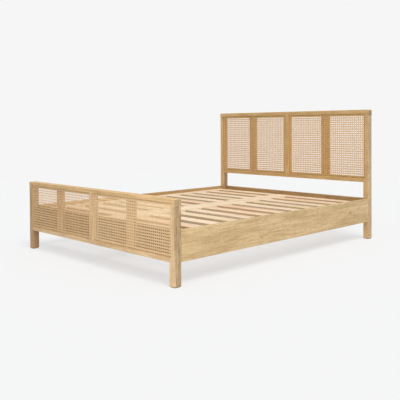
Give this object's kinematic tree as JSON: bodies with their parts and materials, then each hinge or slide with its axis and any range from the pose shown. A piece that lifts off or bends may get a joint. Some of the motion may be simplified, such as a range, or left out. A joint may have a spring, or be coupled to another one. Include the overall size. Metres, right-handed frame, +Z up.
{
  "type": "bed frame",
  "caption": "Low wooden bed frame for a queen mattress, with a tall headboard and a low footboard of cane webbing in a square frame, and a slatted deck between plain side rails.",
  "frame": {"origin": "on the floor, under the middle of the bed's outline", "axes": "+X across the bed, to the right as seen from the foot; +Y along the bed from the foot to the head; +Z up"},
  "size_m": [1.65, 2.146, 1.045],
  "materials": {
    "frame_wood": "satin, straight grain along each piece",
    "headboard_wood": "satin, a little more honey than the rest",
    "pale_slat_wood": "planed and unfinished, pale",
    "deck_wood": "planed",
    "cane_webbing": "woven cane, six-way open weave, satin",
    "cane_spline": "round-edged reed",
    "steel_plates": "zinc plated",
    "wood_screws": "yellow passivated",
    "felt_pads": "pressed felt"
  },
  "bodies": {
    "root": {"centre_beam": "deck_wood", "centre_leg_foot": "deck_wood", "centre_leg_head": "deck_wood", "centre_leg_middle": "deck_wood", "centre_leg_pads": "felt_pads", "cleat_screws": "wood_screws", "foot_beam_cleat": "deck_wood", "foot_end_rail": "frame_wood", "footboard_bottom_rail": "frame_wood", "footboard_centre_stile": "frame_wood", "footboard_cover_strip": "frame_wood", "footboard_left_cane": "cane_webbing", "footboard_left_divider": "frame_wood", "footboard_left_post": "frame_wood", "footboard_left_spline": "cane_spline", "footboard_right_cane": "cane_webbing", "footboard_right_divider": "frame_wood", "footboard_right_post": "frame_wood", "footboard_right_spline": "cane_spline", "footboard_top_rail": "frame_wood", "head_beam_cleat": "deck_wood", "head_end_rail": "headboard_wood", "headboard_bottom_rail": "headboard_wood", "headboard_centre_stile": "headboard_wood", "headboard_cover_strip": "headboard_wood", "headboard_left_cane": "cane_webbing", "headboard_left_divider": "headboard_wood", "headboard_left_post": "headboard_wood", "headboard_left_spline": "cane_spline", "headboard_right_cane": "cane_webbing", "headboard_right_divider": "headboard_wood", "headboard_right_post": "headboard_wood", "headboard_right_spline": "cane_spline", "headboard_top_rail": "headboard_wood", "ledger_screws": "wood_screws", "left_inner_stile": "pale_slat_wood", "left_ledger": "deck_wood", "left_outer_stile": "pale_slat_wood", "left_side_rail": "frame_wood", "plate_screws": "wood_screws", "post_pads": "felt_pads", "post_slot_plates": "steel_plates", "rail_hook_plates": "steel_plates", "right_inner_stile": "pale_slat_wood", "right_ledger": "deck_wood", "right_outer_stile": "pale_slat_wood", "right_side_rail": "frame_wood", "slat_01": "pale_slat_wood", "slat_02": "pale_slat_wood", "slat_03": "pale_slat_wood", "slat_04": "pale_slat_wood", "slat_05": "pale_slat_wood", "slat_06": "pale_slat_wood", "slat_07": "pale_slat_wood", "slat_08": "pale_slat_wood", "slat_09": "pale_slat_wood", "slat_10": "pale_slat_wood", "slat_11": "pale_slat_wood", "slat_12": "pale_slat_wood"}
  },
  "joints": []
}
